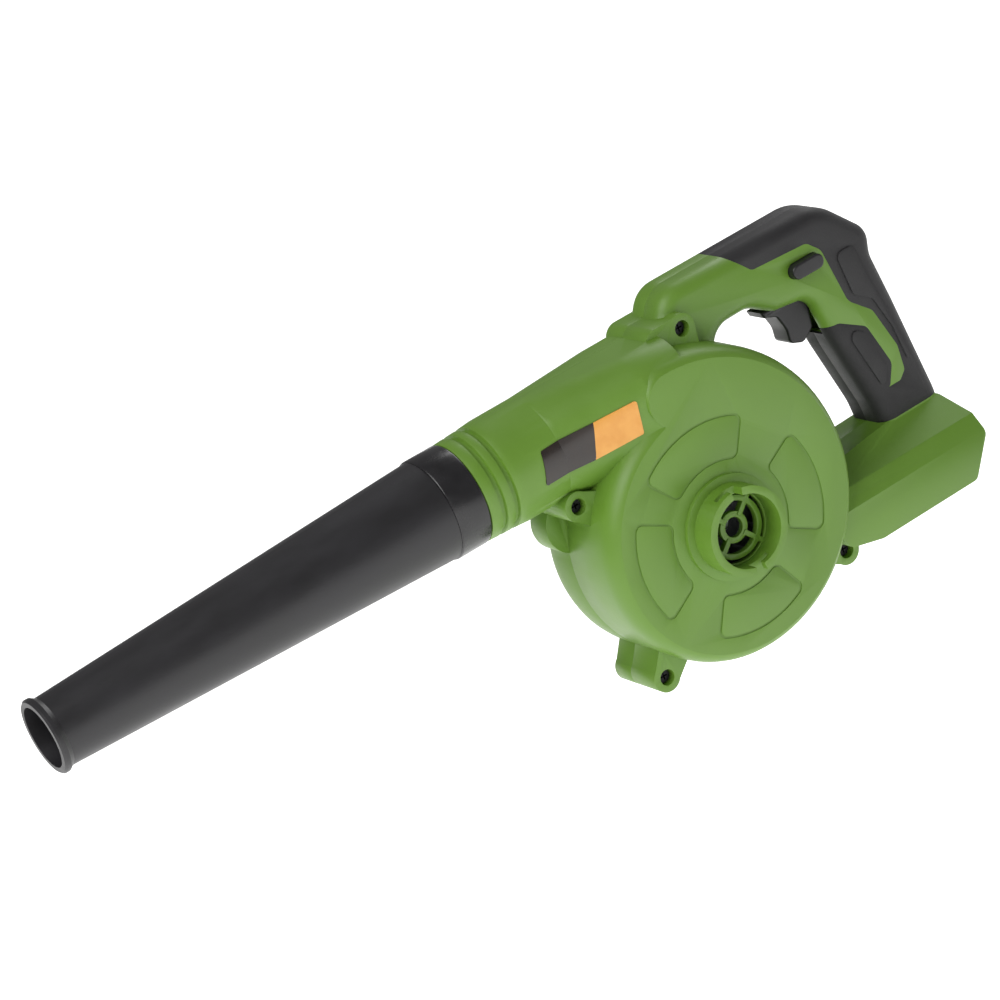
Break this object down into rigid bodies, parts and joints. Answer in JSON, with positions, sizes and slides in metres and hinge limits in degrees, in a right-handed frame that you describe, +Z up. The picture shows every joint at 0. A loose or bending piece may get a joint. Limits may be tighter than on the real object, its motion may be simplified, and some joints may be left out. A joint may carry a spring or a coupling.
{
  "type": "leaf blower",
  "caption": "Handheld cordless leaf blower with a scroll fan housing, tapered nozzle, bayonet air inlet, D-shaped rubber grip, trigger and battery foot; the battery is not fitted.",
  "frame": {"origin": "centre of the inlet collar's mouth, on the impeller axis", "axes": "-Y out of the air inlet along the impeller axis, -X out of the nozzle, +X to the rear grip, +Z up"},
  "size_m": [0.5175, 0.115, 0.1865],
  "materials": {
    "green_shell": "fine-textured moulded ABS, olive-lime green",
    "black_rubber": "soft matt overmould",
    "nozzle_black": "soft-sheen moulded plastic",
    "cuff_black": "harder, glossier black plastic",
    "control_black": "smooth moulded plastic",
    "grey_plastic": "glass-filled moulded plastic",
    "steel": "turned steel",
    "zinc_steel": "zinc-plated screws",
    "magnet": "sintered ferrite",
    "copper": "enamelled copper and contacts",
    "carbon": "carbon",
    "board_green": "solder-masked circuit board",
    "lead_skin": "wire insulation",
    "badge_dark": "plain printed film",
    "badge_orange": "plain printed film"
  },
  "bodies": {
    "housing": {"badge_dark": "badge_dark", "badge_orange": "badge_orange", "battery_contacts": "copper", "board_components": "carbon", "board_standoffs": "grey_plastic", "carbon_brushes": "carbon", "control_board": "board_green", "front_bearing": "steel", "handle_screws": "zinc_steel", "housing_screws": "zinc_steel", "inlet_guard": "green_shell", "inlet_side_grip_rubber": "black_rubber", "inlet_side_shell": "green_shell", "motor_can": "steel", "motor_cover": "green_shell", "motor_cover_screws": "zinc_steel", "motor_damper": "black_rubber", "motor_end_bell": "control_black", "motor_leads": "lead_skin", "motor_magnets": "magnet", "motor_screws": "zinc_steel", "motor_side_grip_rubber": "black_rubber", "motor_side_shell": "green_shell", "motor_terminals": "copper", "rear_bearing": "steel", "spigot_seal": "black_rubber", "switch_body": "control_black", "switch_leads": "lead_skin", "terminal_block": "control_black", "trigger_spring": "steel"},
    "fan": {"impeller": "grey_plastic", "impeller_nut": "zinc_steel", "impeller_washer": "steel", "impeller_spacer": "steel", "motor_shaft": "steel", "armature_core": "steel", "armature_windings": "copper", "commutator": "copper"},
    "nozzle": {"nozzle_tube": "nozzle_black", "nozzle_cuff": "cuff_black"},
    "trigger": {"trigger": "control_black"},
    "lock_button": {"lock_button": "control_black"}
  },
  "joints": [
    {"name": "fan_spin", "type": "hinge", "parent": "housing", "child": "fan", "pos_m": [0, 0.058, 0], "axis": [0, 1, 0], "continuous": true},
    {"name": "nozzle_twist", "type": "hinge", "parent": "housing", "child": "nozzle", "pos_m": [-0.12, 0.058, 0.072], "axis": [1, 0, 0], "range_deg": [0, 30]},
    {"name": "trigger_pull", "type": "slide", "parent": "housing", "child": "trigger", "axis": [1, 0, 0], "range_m": [0, 0.006], "stiffness_N_per_m": 900, "springref_m": -0.002, "deforming": ["trigger_spring"]},
    {"name": "lock_slide", "type": "slide", "parent": "housing", "child": "lock_button", "axis": [0, 1, 0], "range_m": [0, 0.004]}
  ]
}
